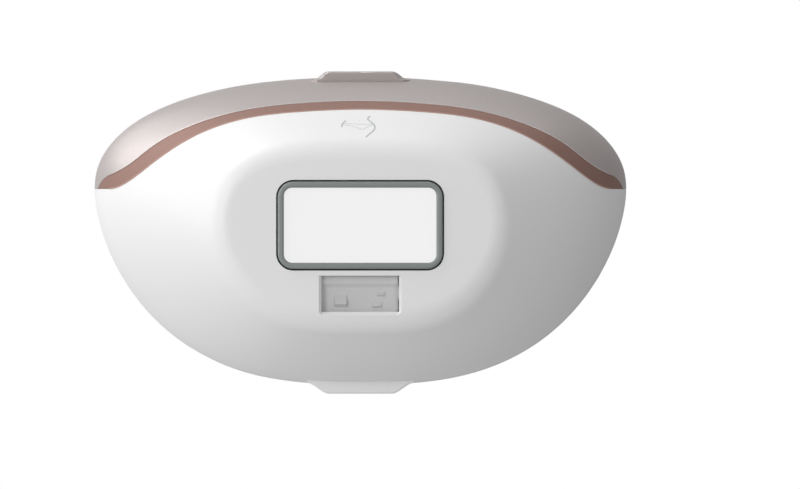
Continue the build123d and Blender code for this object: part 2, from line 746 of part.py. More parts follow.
# ------------------------------------------------------------------------ fan
def fan_frame():
    frame = along_y(Pos(0, FAN_Z) * RectangleRounded(30, 30, 2.5), FAN_FRONT_Y, FAN_BACK_Y)
    frame -= rod(0, FAN_Z, 13.4, FAN_FRONT_Y - 1, FAN_BACK_Y + 1)
    spokes = block(-14, 14, 59.3, FAN_BACK_Y, FAN_Z - 0.8, FAN_Z + 0.8)
    spokes += block(-0.8, 0.8, 59.3, FAN_BACK_Y, FAN_Z - 14, FAN_Z + 14)
    frame += spokes + rod(0, FAN_Z, 5.0, 59.3, FAN_BACK_Y)
    for x in (-12.4, 12.4):
        for z in (-12.4, 12.4):
            frame -= rod(x, FAN_Z + z, 1.4, FAN_FRONT_Y - 1, FAN_BACK_Y + 1)
    return frame - rod(0, FAN_Z, 0.85, 59, 61)


def fan_rotor():
    """Hub with seven pitched blades and its shaft."""
    hub = rod(0, FAN_Z, 5.6, 51.0, 58.7) - rod(0, FAN_Z, 4.9, 51.9, 59)
    hub += rod(0, FAN_Z, 0.75, 51.5, 60.2)
    blade = Pos(8.9, 0, 0) * Rot(X=38) * Box(7.4, 0.8, 8.0)
    for i in range(7):
        placed = Pos(0, 54.9, FAN_Z) * Rot(Y=i * 360 / 7) * blade
        hub += placed
    return hub - rod(0, FAN_Z, 4.9, 51.9, 59) + rod(0, FAN_Z, 0.75, 51.5, 60.2)


def fan_motor():
    """Wound stator inside the rotor hub."""
    stator = rod(0, FAN_Z, 2.0, 53.0, 59.25)
    for i in range(4):
        pole = Pos(2.8, 0, 0) * Box(2.4, 3.6, 1.6)
        stator += Pos(0, 55.2, FAN_Z) * Rot(Y=i * 90 + 45) * pole
    return stator - rod(0, FAN_Z, 1.0, 50, 60)


# ---------------------------------------------------------------- electronics
def inner_chassis():
    """Tray that carries fan, power board and trigger switch."""
    tray = block(-14.4, 14.4, 61.9, 92.0, -11.0, -9.6)
    tray += both_sides(block(13.0, 14.4, 61.9, 92.0, -9.7, 1.95))
    bulkhead = block(-16.5, 16.5, 60.6, 62.0, -14.0, 15.5) - rod(0, FAN_Z, 13.0, 60, 63)
    tray += bulkhead
    return tray - block(-3.4, 3.4, 67.4, 76.6, -12, -9)


def power_board():
    return block(-15.0, 15.0, 63.0, 91.5, 2.0, 3.6)


def charge_transformer():
    """Ferrite core with a taped winding."""
    core = block(-9.0, 5.0, 64.0, 74.0, 3.65, 14.0) - block(-6.5, 2.5, 63, 75, 6.0, 11.6)
    winding = block(-7.0, 3.0, 65.0, 73.0, 5.2, 12.4)
    return core + winding


def trigger_coil():
    """Ignition coil that starts the lamp, potted in a small case."""
    case = block(6.5, 12.5, 64.0, 74.0, 3.65, 11.0)
    return case + post(9.5, 69.0, 2.0, 10.9, 12.0)


def board_components():
    """Smaller parts soldered to the power board."""
    parts = [block(-12.6, -7.6, 78.0, 88.0, 3.65, 6.2)]
    for i in range(3):
        parts.append(post(-3.5 + i * 4.6, 79.5, 1.9, 3.65, 7.6))
    for i in range(4):
        parts.append(block(-4.0 + i * 3.6, -1.8 + i * 3.6, 84.0, 88.0, 3.65, 5.2))
    parts.append(block(-10.0, 10.0, 66.0, 73.0, -3.5, 1.95))
    parts.append(cross_bar(80.5, -2.0, 3.6, -9.0, 9.0))
    return Compound(children=parts)


def capacitor():
    """Flash capacitor in the grip."""
    can = rod(0, CAPACITOR_Z, CAPACITOR_RADIUS, CAPACITOR_START_Y, CAPACITOR_END_Y)
    ends = can.faces().sort_by(Axis.Y)
    can = fillet(ends[0].edges() + ends[-1].edges(), 1.2)
    for x in (-5.0, 5.0):
        can += rod(x, CAPACITOR_Z, 0.7, CAPACITOR_START_Y - 2.4, CAPACITOR_START_Y + 0.1)
    return can


def control_board():
    board = block(-10.5, 10.5, 76.0, 127.0, CONTROL_BOARD_TOP - 1.2, CONTROL_BOARD_TOP)
    for x, y in board_screw_places():
        board -= post(x, y, 1.0, 8, 12)
    return board


def board_screw_places():
    return [(8.2, 78.5), (-8.2, 78.5), (8.2, 95.5), (-8.2, 95.5)]


def board_screws():
    screws = []
    for x, y in board_screw_places():
        head = post(x, y, 1.6, CONTROL_BOARD_TOP - 2.2, CONTROL_BOARD_TOP - 1.25)
        screws.append(head + post(x, y, 0.7, CONTROL_BOARD_TOP - 1.4, CONTROL_BOARD_TOP + 2.6))
    return Compound(children=screws)


def button_switches():
    """Click switches under the two buttons."""
    switches = []
    for y in (POWER_BUTTON_Y, CONFIRM_BUTTON_Y):
        base = block(-2.6, 2.6, y - 2.6, y + 2.6, CONTROL_BOARD_TOP, CONTROL_BOARD_TOP + 1.6)
        switches.append(base + post(0, y, 1.2, CONTROL_BOARD_TOP + 1.5, CONTROL_BOARD_TOP + 2.4))
    return Compound(children=switches)


def indicator_lights():
    """Light guide with five dots for the chosen intensity."""
    guide = block(-0.8, 0.8, INDICATOR_YS[0] - 1, INDICATOR_YS[-1] + 1, 11.2, 12.0)
    for y in INDICATOR_YS:
        guide += post(0, y, 0.8, 11.9, FAR) & handset_form(-PANEL_PROUD)
    return guide


def power_socket():
    """Round low-voltage inlet with its centre pin."""
    socket = rod(0, INLET_Z, 5.2, 165.0, 177.3) - rod(0, INLET_Z, 2.9, 167.0, 178)
    return socket + rod(0, INLET_Z, 0.9, 166.9, 176.5)


def lamp_wires():
    """Heavy leads from the lamp ends round the fan to the power board."""
    lead = wire_run(
        [(21.8, LAMP_Y, 0), (24.2, LAMP_Y, 0), (27.0, 36.0, 2.4), (27.6, 43.0, 6.0),
         (25.8, 49.5, 8.6), (20.5, 56.0, 9.5), (18.0, 61.5, 8.6), (16.2, 66.0, 6.0)], 0.75,
    )
    return both_sides(lead)


def power_wires():
    """Supply pair from the inlet along the capacitor to the power board."""
    wires = []
    for x in (-14.6, 14.6):
        run = [(x * 0.2, 164.0, -9.5), (x * 0.75, 156.0, -7.0), (x, 140.0, -2.0),
               (x, 110.0, -1.0), (x * 0.97, 95.0, 1.0)]
        wires.append(wire_run(run, 0.7))
    return Compound(children=wires)


# ------------------------------------------------------------- handset casing
def band_groove(half_height, depth):
    """Space for the copper band along the widest line."""
    strip = above_belt(-half_height) - above_belt(half_height)
    return strip - handset_form(depth)


def side_band():
    """Copper band between the two handset mouldings."""
    strip = band_groove(BAND_HALF_HEIGHT, BAND_DEPTH) & handset_form(0.12)
    strip &= block(-FAR, FAR, HANDSET_Y + 0.1, TAIL_SPLIT_Y - 0.1, -FAR, FAR)
    return strip


def panel_prism(grow, z0):
    outline = SlotOverall(PANEL_LENGTH + 2 * grow, PANEL_WIDTH + 2 * grow, rotation=90)
    return along_z(Pos(0, PANEL_Y) * outline, z0, FAR)


def trigger_prism(grow, z0, z1):
    outline = SlotOverall(TRIGGER_LENGTH + 2 * grow, TRIGGER_WIDTH + 2 * grow, rotation=90)
    return along_z(Pos(0, TRIGGER_Y) * outline, z0, z1)


def casing_wall():
    """Handset wall without the tail, with the band groove cut."""
    wall = BODY_WALL & block(-FAR, FAR, 0, TAIL_SPLIT_Y - 0.05, -FAR, FAR)
    return wall - band_groove(BAND_HALF_HEIGHT + SEAM, BAND_DEPTH + SEAM)


def dock_posts(places):
    """Screw posts for the dock, webbed to the casing wall."""
    inside = handset_form(1.0)
    posts = None
    for x, z in places:
        side = math.copysign(1, x)
        web = block(*sorted((x, x + side * 12)), COLLAR_BACK_Y + 0.1, 38.0, z - 0.8, z + 0.8)
        piece = (rod(x, z, 2.6, COLLAR_BACK_Y + 0.1, 38.0) + web) & inside
        piece -= rod(x, z, 0.9, COLLAR_BACK_Y, 36.5)
        posts = piece if posts is None else posts + piece
    return posts


def body_upper():
    """Champagne upper moulding with vents, button openings and posts."""
    wall = CASING & ABOVE_BELT
    wall -= panel_prism(0.06, 0) - handset_form(1.0 + SEAM)
    wall -= post(0, POWER_BUTTON_Y, POWER_BUTTON_RADIUS + BUTTON_GAP, 5, FAR)
    wall -= post(0, CONFIRM_BUTTON_Y, CONFIRM_BUTTON_RADIUS + BUTTON_GAP, 5, FAR)
    for y in INDICATOR_YS:
        wall -= post(0, y, 0.85, 5, FAR)
    for i in range(4):
        slot = SlotOverall(19 - 2 * i, 1.6)
        wall -= along_z(Pos(0, 45.5 + 3.4 * i) * slot, 10, FAR)
    wall += dock_posts(DOCK_SCREWS[:2])
    inside = handset_form(1.2)
    for x, y in board_screw_places():
        wall += (post(x, y, 1.9, CONTROL_BOARD_TOP + 0.02, FAR) & inside) - post(x, y, 0.75, 8, 13.4)
    for x, y in SHELL_SCREWS:
        boss = (post(x, y, 2.6, -1.0, FAR) & inside) - post(x, y, 0.9, -2, 7.0)
        wall += boss
    return wall


def body_lower():
    """White lower moulding with trigger opening, side vents and cradles."""
    wall = CASING - ABOVE_BELT
    wall -= trigger_prism(TRIGGER_GAP, -FAR, -5)
    for i in range(5):
        slot = SlotOverall(13 - i, 1.5)
        wall -= along_x(Pos(50.5, 0.2 - 2.9 * i) * slot, -FAR, FAR)
    wall += dock_posts(DOCK_SCREWS[2:])
    inside = handset_form(1.0)
    for y in (101.0, 141.0):
        cradle = block(-11.0, 11.0, y - 1.2, y + 1.2, -FAR, -11.0) & inside
        wall += cradle - rod(0, CAPACITOR_Z, CAPACITOR_RADIUS + 0.05, 90, 160)
    for x, y in SHELL_SCREWS:
        wall += post(x, y, 3.4, -FAR, -1.05) & BODY
        wall -= post(x, y, 1.1, -FAR, 0)
        wall -= post(x, y, 2.4, -FAR, -10.0)
    wall -= foot_prism(0.08, REST_Z - 1, FAR) - handset_form(1.3)
    return wall


def foot_prism(grow, z0, z1):
    outline = SlotOverall(22 + 2 * grow, 9 + 2 * grow, rotation=90)
    return along_z(Pos(0, FOOT_Y) * outline, z0, min(z1, -15))


def tail_foot():
    """Soft pad under the tail that the device rests on."""
    pad = foot_prism(0, REST_Z, FAR) - handset_form(1.25)
    bottom = pad.faces().sort_by(Axis.Z)[0]
    return fillet(bottom.edges(), 0.3)


def tail_cap():
    """White end cap round the power inlet, with a lip that plugs in."""
    cap = tail_form(0.0) & block(-FAR, FAR, TAIL_SPLIT_Y + 0.05, FAR * 4, -FAR, FAR)
    cap -= tail_form(HANDSET_WALL + 1.2) & block(-FAR, FAR, 0, 177.4, -FAR, FAR)
    lip = handset_form(HANDSET_WALL + 0.1) - handset_form(HANDSET_WALL + 1.2)
    cap += lip & block(-FAR, FAR, 169.5, TAIL_SPLIT_Y + 0.2, -FAR, FAR)
    return cap - rod(0, INLET_Z, INLET_RADIUS, 170, 190)


def shell_screws():
    """Screws that pull the lower moulding to the upper one."""
    screws = []
    for x, y in SHELL_SCREWS:
        head = post(x, y, 2.1, -11.4, -10.05)
        head -= block(x - 1.3, x + 1.3, y - 0.25, y + 0.25, -11.5, -10.8)
        head -= block(x - 0.25, x + 0.25, y - 1.3, y + 1.3, -11.5, -10.8)
        screws.append(head + post(x, y, 0.85, -10.1, 5.5))
    return Compound(children=screws)


# ------------------------------------------------------------------- controls
def control_panel():
    """Glossy inlay round the buttons and lights."""
    panel = (panel_prism(0, 0) & handset_form(-PANEL_PROUD)) - handset_form(1.0)
    panel -= post(0, POWER_BUTTON_Y, POWER_BUTTON_RADIUS + BUTTON_GAP, 5, FAR)
    panel -= post(0, CONFIRM_BUTTON_Y, CONFIRM_BUTTON_RADIUS + BUTTON_GAP, 5, FAR)
    for y in INDICATOR_YS:
        panel -= post(0, y, 0.85, 5, FAR)
    return panel


def push_button(y, radius, flange_radius, flange_z):
    """Button cap that follows the panel surface, with a retaining flange."""
    cap = post(0, y, radius, flange_z, FAR) & handset_form(-PANEL_PROUD - BUTTON_PROUD)
    cap += post(0, y, flange_radius, flange_z, flange_z + 0.7)
    return cap + post(0, y, 1.4, CONTROL_BOARD_TOP + 3.0, flange_z + 0.1)


def power_button():
    return push_button(POWER_BUTTON_Y, POWER_BUTTON_RADIUS, 6.6, 13.9)


def confirm_button():
    return push_button(CONFIRM_BUTTON_Y, CONFIRM_BUTTON_RADIUS, 5.0, 13.4)


def flash_trigger():
    """Long button under the neck that fires the flash."""
    key = trigger_prism(0, -FAR, -15.8) & handset_form(-TRIGGER_PROUD)
    key += trigger_prism(1.6, -16.6, -15.8)
    return key + post(0, 72.0, 1.2, -15.9, -13.55)


def trigger_spring():
    """Return spring between the trigger and the tray."""
    return Pos(0, 84.0, -15.4) * coil(2.4, 0.3, 4.0, 4)


def trigger_switch():
    """Snap switch over the trigger."""
    case = block(-3.2, 3.2, 67.6, 76.4, -12.2, -5.0)
    return case - post(0, 72.0, 1.0, -13, -8.9)


def trigger_switch_pin():
    """Button of the snap switch."""
    return post(0, 72.0, 0.8, -13.5, -10.5)


CASING = casing_wall()

NODES = {
    "attachment_shell": attachment_shell,
    "attachment_top_cover": attachment_top_cover,
    "attachment_trim": attachment_trim,
    "safety_ring": safety_ring,
    "window_filter": window_filter,
    "window_seal": window_seal,
    "attachment_reflector": attachment_reflector,
    "attachment_chassis": attachment_chassis,
    "attachment_screws": attachment_screws,
    "ring_springs": ring_springs,
    "attachment_contacts": attachment_contacts,
    "dock_frame": dock_frame,
    "contact_pins": contact_pins,
    "latch_springs": latch_springs,
    "dock_screws": dock_screws,
    "switch_plungers": switch_plungers,
    "contact_switches": contact_switches,
    "sensor_pod": sensor_pod,
    "skin_sensor": skin_sensor,
    "lamp_window": lamp_window,
    "main_reflector": main_reflector,
    "lamp_tube": lamp_tube,
    "lamp_electrodes": lamp_electrodes,
    "lamp_holders": lamp_holders,
    "heat_sink": heat_sink,
    "lamp_frame": lamp_frame,
    "fan_frame": fan_frame,
    "fan_rotor": fan_rotor,
    "fan_motor": fan_motor,
    "inner_chassis": inner_chassis,
    "power_board": power_board,
    "charge_transformer": charge_transformer,
    "trigger_coil": trigger_coil,
    "board_components": board_components,
    "capacitor": capacitor,
    "control_board": control_board,
    "board_screws": board_screws,
    "button_switches": button_switches,
    "indicator_lights": indicator_lights,
    "power_socket": power_socket,
    "lamp_wires": lamp_wires,
    "power_wires": power_wires,
    "side_band": side_band,
    "body_upper": body_upper,
    "body_lower": body_lower,
    "tail_foot": tail_foot,
    "tail_cap": tail_cap,
    "shell_screws": shell_screws,
    "control_panel": control_panel,
    "power_button": power_button,
    "confirm_button": confirm_button,
    "flash_trigger": flash_trigger,
    "trigger_spring": trigger_spring,
    "trigger_switch": trigger_switch,
    "trigger_switch_pin": trigger_switch_pin,
}

os.makedirs("parts", exist_ok=True)
for name, make in NODES.items():
    export_step(make(), f"parts/{name}.step")
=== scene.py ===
import math

import bmesh
import bpy
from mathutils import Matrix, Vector
from mathutils.bvhtree import BVHTree


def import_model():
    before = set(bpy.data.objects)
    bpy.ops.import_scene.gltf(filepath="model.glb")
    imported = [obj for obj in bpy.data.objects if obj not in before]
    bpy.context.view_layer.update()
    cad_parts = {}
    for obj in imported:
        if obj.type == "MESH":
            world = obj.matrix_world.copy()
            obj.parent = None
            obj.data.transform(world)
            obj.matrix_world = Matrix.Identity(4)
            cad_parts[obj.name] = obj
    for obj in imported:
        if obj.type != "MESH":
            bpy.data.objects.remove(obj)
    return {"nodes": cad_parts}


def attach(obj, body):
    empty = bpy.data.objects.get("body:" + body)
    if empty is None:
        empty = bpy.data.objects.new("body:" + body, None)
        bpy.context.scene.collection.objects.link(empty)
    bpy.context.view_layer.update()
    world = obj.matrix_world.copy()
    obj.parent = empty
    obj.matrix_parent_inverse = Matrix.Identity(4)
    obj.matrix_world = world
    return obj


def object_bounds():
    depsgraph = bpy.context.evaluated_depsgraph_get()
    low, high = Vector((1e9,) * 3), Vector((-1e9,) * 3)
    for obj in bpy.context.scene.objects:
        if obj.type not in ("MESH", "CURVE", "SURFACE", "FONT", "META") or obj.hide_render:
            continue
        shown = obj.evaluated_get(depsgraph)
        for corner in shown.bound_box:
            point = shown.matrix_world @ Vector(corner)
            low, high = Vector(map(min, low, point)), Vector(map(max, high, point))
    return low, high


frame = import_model()
cad_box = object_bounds()
NODES = frame["nodes"]
MM = 0.001


# ------------------------------------------------------------------ materials
GRAIN_DETAIL = 3.0
GLOSS_DETAIL = 2.0
GLOSS_SCALE = 0.21           # patches of gloss are coarser than the grain
RAMP_ENDS = (0.3, 0.7)       # the part of the noise that carries the tone
EDGE_SAMPLES = 6


class Shader:
    """Small helper around a node tree with one Principled shader."""

    def __init__(self, name, **settings):
        self.material = bpy.data.materials.new(name)
        self.material.use_nodes = True
        self.nodes = self.material.node_tree.nodes
        self.links = self.material.node_tree.links
        self.principled = self.nodes["Principled BSDF"]
        self.coordinates = self.nodes.new("ShaderNodeTexCoord").outputs["Object"]
        for socket, value in settings.items():
            self.principled.inputs[socket.replace("_", " ")].default_value = value

    def noise(self, scale, detail):
        texture = self.nodes.new("ShaderNodeTexNoise")
        texture.inputs["Scale"].default_value = scale
        texture.inputs["Detail"].default_value = detail
        self.links.new(self.coordinates, texture.inputs["Vector"])
        return texture.outputs["Fac"]

    def colour(self, source, low, high):
        ramp = self.nodes.new("ShaderNodeValToRGB")
        for stop, place, rgb in zip(ramp.color_ramp.elements, RAMP_ENDS, (low, high)):
            stop.position = place
            stop.color = (*rgb, 1)
        self.links.new(source, ramp.inputs["Fac"])
        self.links.new(ramp.outputs["Color"], self.principled.inputs["Base Color"])

    def roughness(self, source, low, high):
        spread = self.nodes.new("ShaderNodeMapRange")
        spread.inputs["To Min"].default_value = low
        spread.inputs["To Max"].default_value = high
        self.links.new(source, spread.inputs["Value"])
        self.links.new(spread.outputs["Result"], self.principled.inputs["Roughness"])

    def relief(self, source, height, edge):
        """Fine grain on top of softly broken edges."""
        soft = self.nodes.new("ShaderNodeBevel")
        soft.samples = EDGE_SAMPLES
        soft.inputs["Radius"].default_value = edge
        bump = self.nodes.new("ShaderNodeBump")
        bump.inputs["Strength"].default_value = 1.0
        bump.inputs["Distance"].default_value = height
        self.links.new(source, bump.inputs["Height"])
        self.links.new(soft.outputs["Normal"], bump.inputs["Normal"])
        self.links.new(bump.outputs["Normal"], self.principled.inputs["Normal"])


def tinted(rgb, factor):
    return tuple(min(channel * factor, 1.0) for channel in rgb)


def grained(name, rgb, scale, contrast, rough, height, edge=0.06, **settings):
    """Colour with fine grain in tone, roughness and relief.

    rough is the range of roughness, height the depth of the grain in metres, and edge
    the radius in millimetres that sharp edges are shaded with.
    """
    shader = Shader(name, **settings)
    grain = shader.noise(scale, GRAIN_DETAIL)
    shader.colour(grain, tinted(rgb, 1 - contrast), tinted(rgb, 1 + contrast))
    shader.roughness(shader.noise(scale * GLOSS_SCALE, GLOSS_DETAIL), *rough)
    shader.relief(grain, height, edge * MM)
    return shader.material


WHITE = grained(
    "white_satin_plastic", (0.86, 0.86, 0.86), 5200, 0.012, (0.40, 0.47), 2e-6, 0.14,
)
CHAMPAGNE = grained(
    "champagne_metallic", (0.56, 0.51, 0.498), 6500, 0.05, (0.34, 0.42), 3e-6, 0.05,
    Metallic=0.5,
)
COPPER = grained(
    "copper_metallic", (0.31, 0.182, 0.15), 5200, 0.03, (0.52, 0.58), 1e-6, 0.05,
    Metallic=0.3,
)
RING = grained(
    "ring_metal", (0.265, 0.29, 0.285), 3800, 0.04, (0.5, 0.58), 1e-6, 0.25,
    Metallic=0.35,
)
# painted glow: the frosted window emits light of its own so that it reads flat and evenly bright;
# it is no lamp
GLOWING_WINDOW = grained(
    "frosted_window_painted_glow", (0.10, 0.10, 0.10), 3000, 0.01, (0.30, 0.36), 0,
    Emission_Color=(1, 1, 1, 1), Emission_Strength=0.80, Specular_IOR_Level=0.1,
)
GREY = grained("grey_plastic", (0.55, 0.55, 0.55), 4500, 0.03, (0.5, 0.6), 2e-6)
POCKET_GREY = grained("pocket_grey", (0.62, 0.62, 0.62), 4500, 0.03, (0.5, 0.6), 2e-6)
DARK = grained("dark_plastic", (0.035, 0.035, 0.04), 4000, 0.15, (0.45, 0.6), 3e-6)
RUBBER = grained("dark_rubber", (0.05, 0.05, 0.052), 3000, 0.2, (0.65, 0.8), 6e-6)
STEEL = grained("steel", (0.55, 0.55, 0.56), 2500, 0.06, (0.25, 0.35), 1e-6, Metallic=1.0)
MIRROR = grained("mirror_metal", (0.88, 0.88, 0.88), 900, 0.02, (0.05, 0.09), 0, Metallic=1.0)
GOLD = grained("gold_contact", (0.80, 0.60, 0.24), 2500, 0.05, (0.2, 0.3), 0, Metallic=1.0)
POM = grained("white_slider", (0.80, 0.80, 0.77), 3000, 0.02, (0.4, 0.5), 1e-6)
CERAMIC = grained("ceramic", (0.78, 0.75, 0.66), 2200, 0.05, (0.6, 0.75), 6e-6)
ALUMINIUM = grained(
    "aluminium", (0.72, 0.72, 0.74), 1800, 0.05, (0.3, 0.42), 2e-6, Metallic=1.0,
)
BOARD = grained("board_green", (0.02, 0.13, 0.05), 700, 0.3, (0.3, 0.45), 2e-6)
TAPE = grained("tape_yellow", (0.75, 0.55, 0.06), 900, 0.1, (0.35, 0.5), 3e-6)
COMPONENT = grained("component_black", (0.05, 0.05, 0.055), 1500, 0.3, (0.35, 0.5), 3e-6)
WINDING = grained(
    "copper_winding", (0.45, 0.2, 0.08), 2500, 0.25, (0.25, 0.4), 6e-6, Metallic=0.8,
)
SLEEVE = grained("capacitor_sleeve", (0.02, 0.03, 0.09), 1200, 0.15, (0.2, 0.3), 1e-6)
GUIDE = grained(
    "light_guide", (0.85, 0.85, 0.82), 2000, 0.03, (0.2, 0.3), 0, Emission_Strength=0.1,
)
RED_WIRE = grained("red_wire", (0.4, 0.02, 0.015), 1500, 0.1, (0.4, 0.5), 1e-6)
BLACK_WIRE = grained("black_wire", (0.02, 0.02, 0.02), 1500, 0.2, (0.4, 0.5), 1e-6)
PANEL = grained("panel_gloss", (0.84, 0.84, 0.84), 2500, 0.01, (0.08, 0.12), 0, Coat_Weight=0.5)
LENS = grained("sensor_lens", (0.30, 0.30, 0.30), 2000, 0.05, (0.15, 0.25), 0)
QUARTZ = grained(
    "quartz_glass", (0.92, 0.94, 0.95), 1500, 0.02, (0.02, 0.05), 0,
    Transmission_Weight=0.9, IOR=1.46,
)

NODE_MATERIALS = {
    WHITE: ["attachment_shell", "body_lower", "tail_cap"],
    CHAMPAGNE: ["attachment_top_cover", "body_upper", "power_button", "confirm_button",
                "flash_trigger"],
    COPPER: ["attachment_trim", "side_band"],
    RING: ["safety_ring"],
    GLOWING_WINDOW: ["window_filter"],
    QUARTZ: ["lamp_window", "lamp_tube"],
    RUBBER: ["window_seal", "tail_foot"],
    MIRROR: ["attachment_reflector", "main_reflector"],
    POCKET_GREY: ["sensor_pod"],
    GREY: ["attachment_chassis", "inner_chassis"],
    DARK: ["dock_frame", "lamp_frame", "contact_switches", "button_switches", "trigger_switch",
           "fan_frame", "fan_rotor", "trigger_coil", "power_socket"],
    STEEL: ["attachment_screws", "dock_screws", "board_screws", "shell_screws", "ring_springs",
            "trigger_spring", "latch_springs", "lamp_electrodes"],
    GOLD: ["attachment_contacts", "contact_pins"],
    POM: ["switch_plungers", "trigger_switch_pin"],
    LENS: ["skin_sensor"],
    CERAMIC: ["lamp_holders"],
    ALUMINIUM: ["heat_sink"],
    WINDING: ["fan_motor"],
    BOARD: ["power_board", "control_board"],
    TAPE: ["charge_transformer"],
    COMPONENT: ["board_components"],
    SLEEVE: ["capacitor"],
    GUIDE: ["indicator_lights"],
    RED_WIRE: ["lamp_wires"],
    BLACK_WIRE: ["power_wires"],
    PANEL: ["control_panel"],
}
for material, names in NODE_MATERIALS.items():
    for name in names:
        for material_slot in NODES[name].material_slots:
            material_slot.material = material


# ------------------------------------------------------------------- pictogram
# strokes as (x, z) points on the front of the shell, in millimetres
ICON_BOLD = [
    [(-2.98, 15.70), (-2.85, 16.12), (-2.62, 16.42), (-2.33, 16.70)],
    [(1.56, 17.46), (1.28, 17.16), (1.25, 16.88), (1.79, 16.42), (2.24, 15.97), (2.35, 15.55),
     (2.12, 15.10), (1.55, 14.61), (0.90, 14.05)],
]
ICON_FINE = [
    [(-2.80, 16.22), (-1.81, 16.21), (-0.85, 16.15), (0.43, 16.12), (2.11, 16.16)],
    [(-2.82, 16.06), (-1.65, 15.86), (-0.53, 15.60), (0.15, 15.36), (0.43, 15.32),
     (0.72, 15.44), (1.23, 15.73), (2.11, 16.05)],
    [(-0.24, 16.77), (0.03, 16.77)],
]
ICON_DEPTH = 0.035 * MM
BOLD_WIDTH = 0.2
FINE_WIDTH = 0.14
CURVE_STEPS = 6
RAY_START = 0.05             # metres in front of the head


def smooth_line(points):
    """Points on a smooth curve through the given ones."""
    line = []
    padded = [points[0], *points, points[-1]]
    for before, here, there, after in zip(padded, padded[1:], padded[2:], padded[3:]):
        for i in range(CURVE_STEPS):
            t = i / CURVE_STEPS
            line.append(tuple(
                0.5 * (2 * b + (c - a) * t + (2 * a - 5 * b + 4 * c - d) * t * t
                       + (3 * b - a - 3 * c + d) * t ** 3)
                for a, b, c, d in zip(before, here, there, after)
            ))
    line.append(points[-1])
    return line


def fixed_strip(name, rings, material):
    """Closed strip through rings of points, carried by the attachment."""
    around = len(rings[0])
    verts = [point for ring in rings for point in ring]
    last = len(verts) - around
    faces = [tuple(reversed(range(around))), tuple(range(last, last + around))]
    for start in range(0, last, around):
        for k in range(around):
            here = start + k
            there = start + (k + 1) % around
            faces.append((here, there, there + around, here + around))
    mesh = bpy.data.meshes.new(name)
    mesh.from_pydata(verts, [], faces)
    mesh.materials.append(material)
    strip = bpy.data.objects.new(name, mesh)
    bpy.context.collection.objects.link(strip)
    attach(strip, "attachment")
    return mesh


def frames_along(line):
    """Point, normal and sideways direction at each place of a line on the skin."""
    for i, (point, normal) in enumerate(line):
        ahead = line[min(i + 1, len(line) - 1)][0]
        behind = line[max(i - 1, 0)][0]
        yield point, normal, normal.cross(ahead - behind).normalized()


def printed_line(name, points, width, material):
    """Raised ink line that follows the front of the white shell."""
    surface = BVHTree.FromObject(
        NODES["attachment_shell"], bpy.context.evaluated_depsgraph_get(),
    )
    line = []
    for x, z in smooth_line(points):
        start = Vector((x * MM, -RAY_START, z * MM))
        hit, normal, _, _ = surface.ray_cast(start, Vector((0, 1, 0)))
        line.append((hit, normal))
    rings = []
    for point, normal, side in frames_along(line):
        across = side * width * MM / 2
        lift = normal * ICON_DEPTH / 2
        left, right = point - across, point + across
        rings.append([right - lift, right + lift, left + lift, left - lift])
    fixed_strip(name, rings, material)


INK = grained("icon_ink", (0.42, 0.44, 0.44), 3000, 0.03, (0.5, 0.6), 0)
PALE_INK = grained("icon_pale_ink", (0.62, 0.64, 0.64), 3000, 0.02, (0.5, 0.6), 0)
for number, stroke in enumerate(ICON_BOLD):
    printed_line(f"icon_bold_{number}", stroke, BOLD_WIDTH, INK)
for number, stroke in enumerate(ICON_FINE):
    printed_line(f"icon_fine_{number}", stroke, FINE_WIDTH, PALE_INK)


# ------------------------------------------------------------ trim line edges
EDGE_RADIUS = 0.11 * MM
EDGE_LIFT = 0.035 * MM
EDGE_REACH = 40.6 * MM
EDGE_SIDES = 8
EDGE_SMOOTHING = 4           # neighbours on each side that a skin normal is averaged over
SKIN_SLOPE = -0.1            # outer skin faces forward by more than this
SEAM_SLOPE = 0.02            # seam faces run straight back, within this
SEAM_TILT = 0.3
WELD = 1e-6
PLACE_DIGITS = 4             # one point for each 0.1 mm along X


def trim_edge(upward):
    """Points and smoothed skin normals along an outer edge of the trim, left to right."""
    strip = bmesh.new()
    strip.from_mesh(NODES["attachment_trim"].data)
    bmesh.ops.remove_doubles(strip, verts=strip.verts, dist=WELD)
    strip.normal_update()
    line = {}
    for edge in strip.edges:
        skin, side = sorted(edge.link_faces, key=lambda face: face.normal.y)
        if skin.normal.y > SKIN_SLOPE or abs(side.normal.y) > SEAM_SLOPE:
            continue
        if side.normal.z * upward < SEAM_TILT:
            continue
        for vertex in edge.verts:
            if abs(vertex.co.x) < EDGE_REACH:
                place = round(vertex.co.x, PLACE_DIGITS)
                line[place] = (vertex.co.copy(), skin.normal.copy())
    strip.free()
    points = [line[x] for x in sorted(line)]
    smoothed = []
    for i, (point, _) in enumerate(points):
        nearby = points[max(i - EDGE_SMOOTHING, 0):i + EDGE_SMOOTHING + 1]
        smoothed.append((point, sum((normal for _, normal in nearby), Vector()).normalized()))
    return smoothed


def rounded_edge(name, line, material):
    """Fine rounded bead along an edge of the trim."""
    rings = []
    for point, normal, side in frames_along(line):
        middle = point + normal * EDGE_LIFT
        ring = []
        for k in range(EDGE_SIDES):
            angle = 2 * math.pi * k / EDGE_SIDES
            ring.append(middle + (side * math.cos(angle) + normal * math.sin(angle)) * EDGE_RADIUS)
        rings.append(ring)
    fixed_strip(name, rings, material).shade_smooth()


# painted highlight: the cover's bead is a lighter, glossier champagne than the cover, so its
# colour carries the bright line along the cover's edge
COVER_BEAD_HIGHLIGHT = grained(
    "champagne_edge_painted_highlight", (0.72, 0.66, 0.645), 6500, 0.03, (0.28, 0.34), 0, Metallic=0.6,
)
# painted highlight: the trim's bead is a lighter copper than the trim, so its colour carries the
# pink line along the trim's lower edge
TRIM_BEAD_HIGHLIGHT = grained(
    "copper_edge_painted_highlight", (0.50, 0.32, 0.27), 5200, 0.03, (0.52, 0.58), 0, Metallic=0.3,
)
rounded_edge("cover_edge", trim_edge(1), COVER_BEAD_HIGHLIGHT)
rounded_edge("trim_edge", trim_edge(-1), TRIM_BEAD_HIGHLIGHT)


